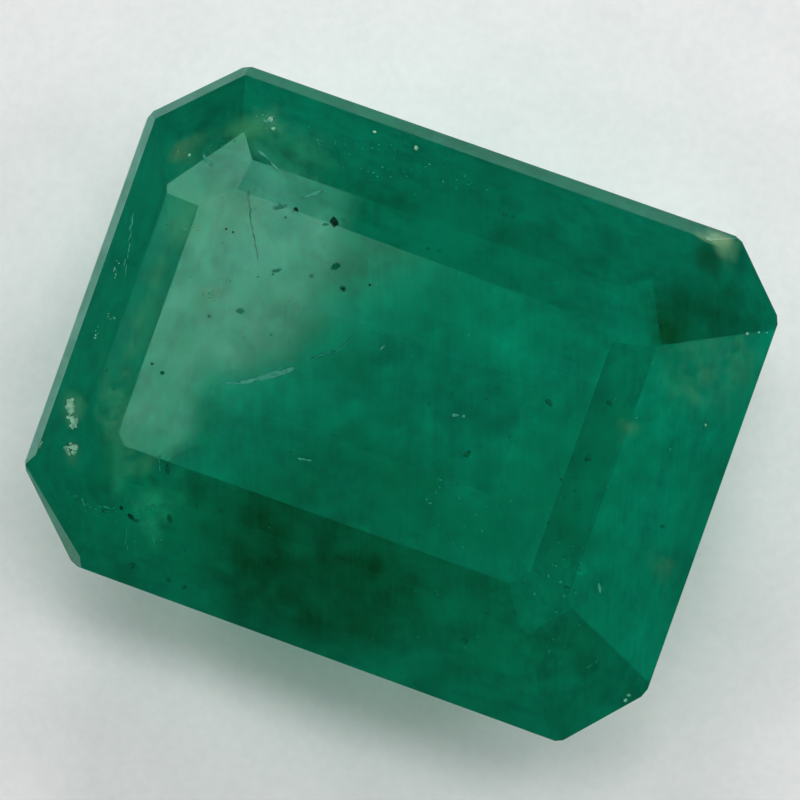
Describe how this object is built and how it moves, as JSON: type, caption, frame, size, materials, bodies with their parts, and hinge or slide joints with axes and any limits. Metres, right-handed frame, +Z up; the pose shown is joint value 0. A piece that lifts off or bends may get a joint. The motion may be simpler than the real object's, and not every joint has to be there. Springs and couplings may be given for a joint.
{
  "type": "step-cut emerald gemstone",
  "caption": "Step-cut emerald: an octagonal stone with an off-centre table, a two-step crown, a thin girdle and a stepped pavilion ending in a flat culet.",
  "frame": {"origin": "middle of the flat culet's plane, under the centre of the stone's outline", "axes": "+X along the length, towards the broad end facet; +Y across the width, towards the ground bevel; +Z up through the table"},
  "size_m": [0.01, 0.008, 0.0047],
  "materials": {
    "emerald": "polished facets over a cloudy, deep green body; the bevel over the girdle is left ground"
  },
  "bodies": {
    "root": {"cut_emerald": "emerald"}
  },
  "joints": []
}
